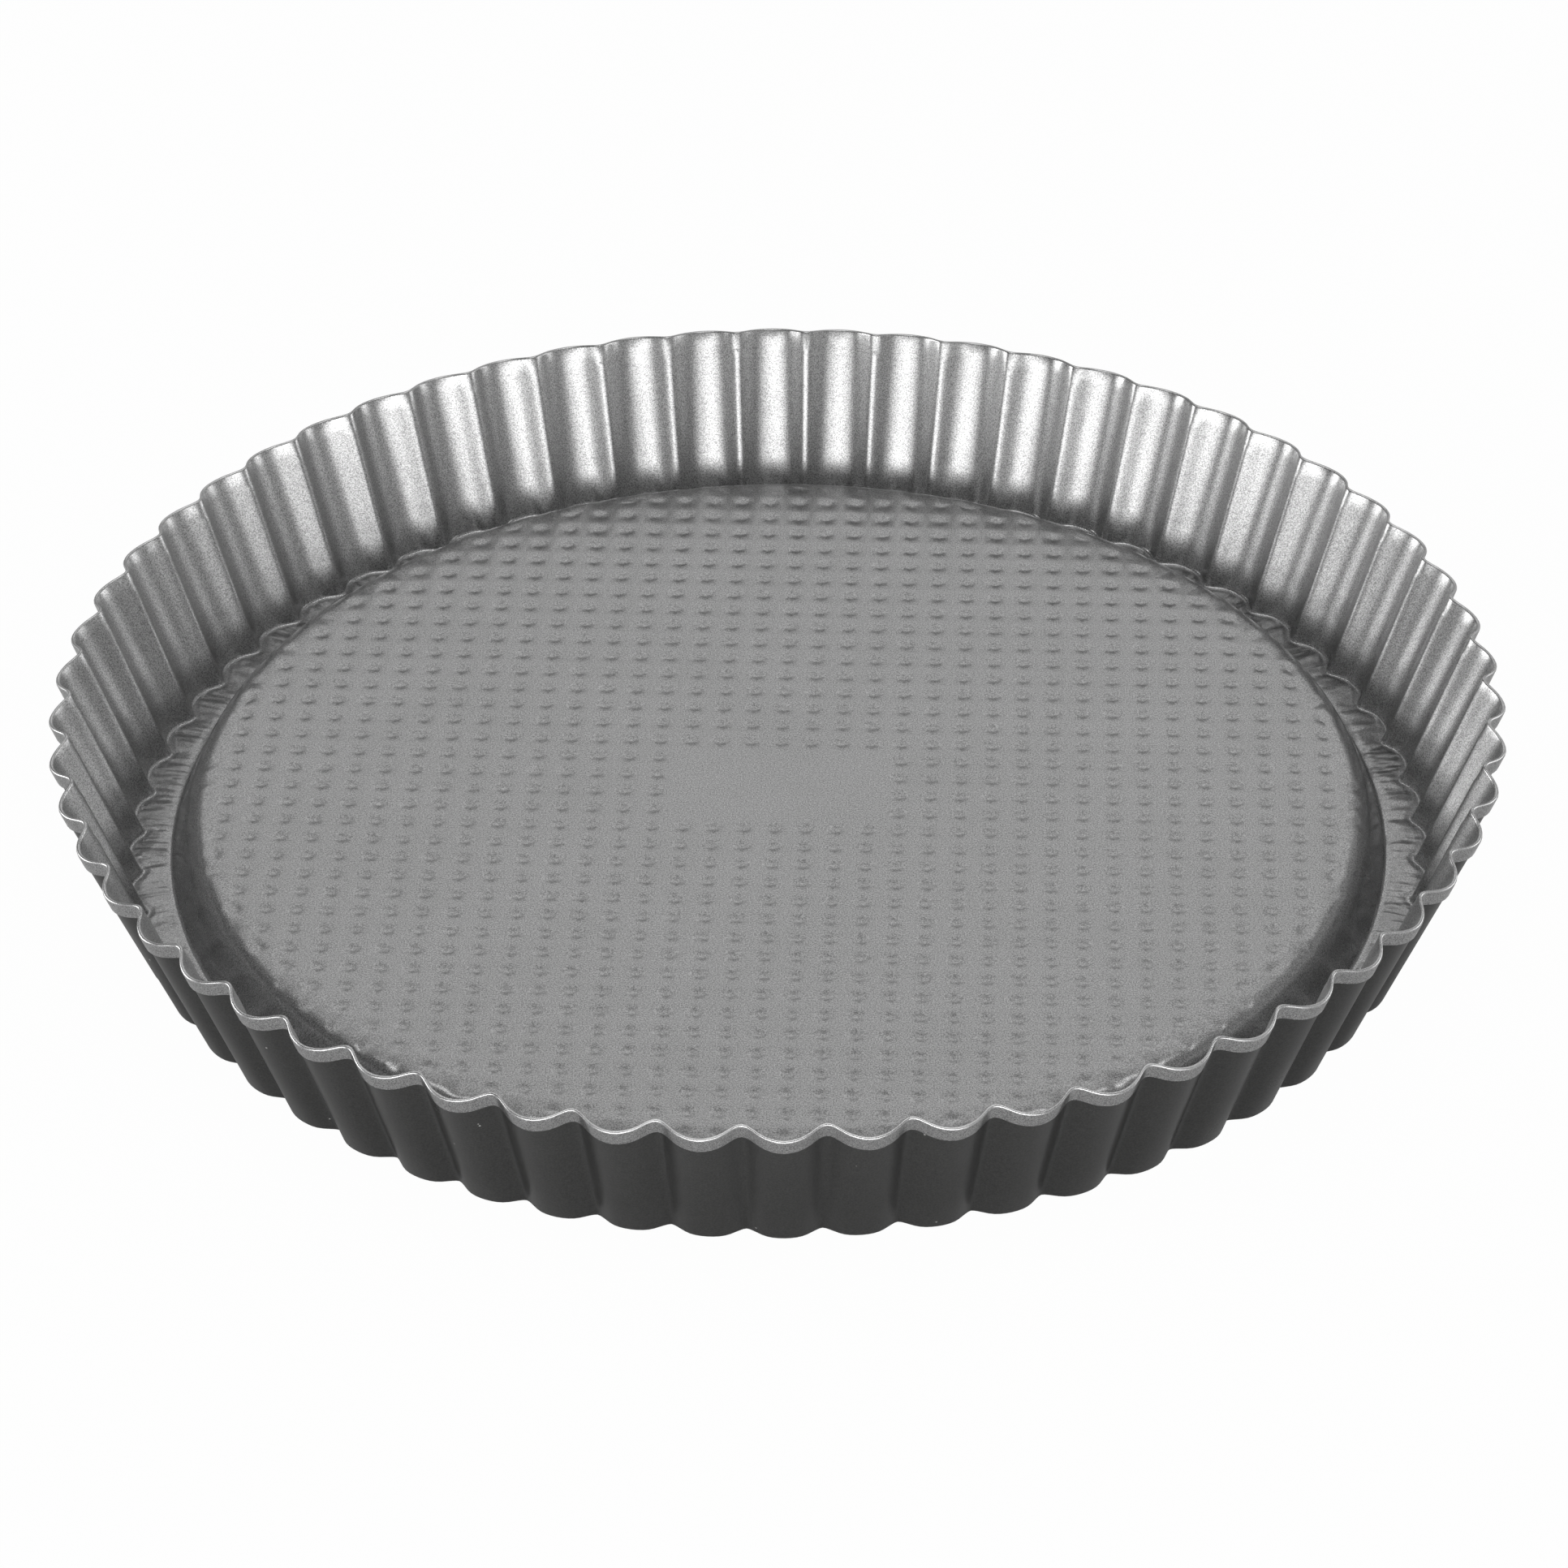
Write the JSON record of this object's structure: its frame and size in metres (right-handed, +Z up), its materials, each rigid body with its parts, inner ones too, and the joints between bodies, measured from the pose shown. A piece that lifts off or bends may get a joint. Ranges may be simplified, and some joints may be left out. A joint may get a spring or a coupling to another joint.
{
  "type": "sponge flan tin",
  "caption": "Round fluted baking tin with a flaring wall, a rim hemmed to the outside, a gutter round the foot and a raised platform, for baking sponge flan bases.",
  "frame": {"origin": "on the tin's axis, in the plane that it stands on", "axes": "+Z up along the axis, out of the bowl; a lobe of the fluted wall faces -Y, towards the picture's camera"},
  "size_m": [0.2828, 0.2832, 0.0338],
  "materials": {
    "steel": "bare sheared edge of the sheet, satin",
    "lining": "metallic grey non-stick coat, fine grain, half gloss",
    "lacquer": "dark anthracite lacquer, satin"
  },
  "bodies": {
    "root": {"steel_pressing": "steel", "nonstick_lining": "lining", "outer_lacquer": "lacquer"}
  },
  "joints": []
}
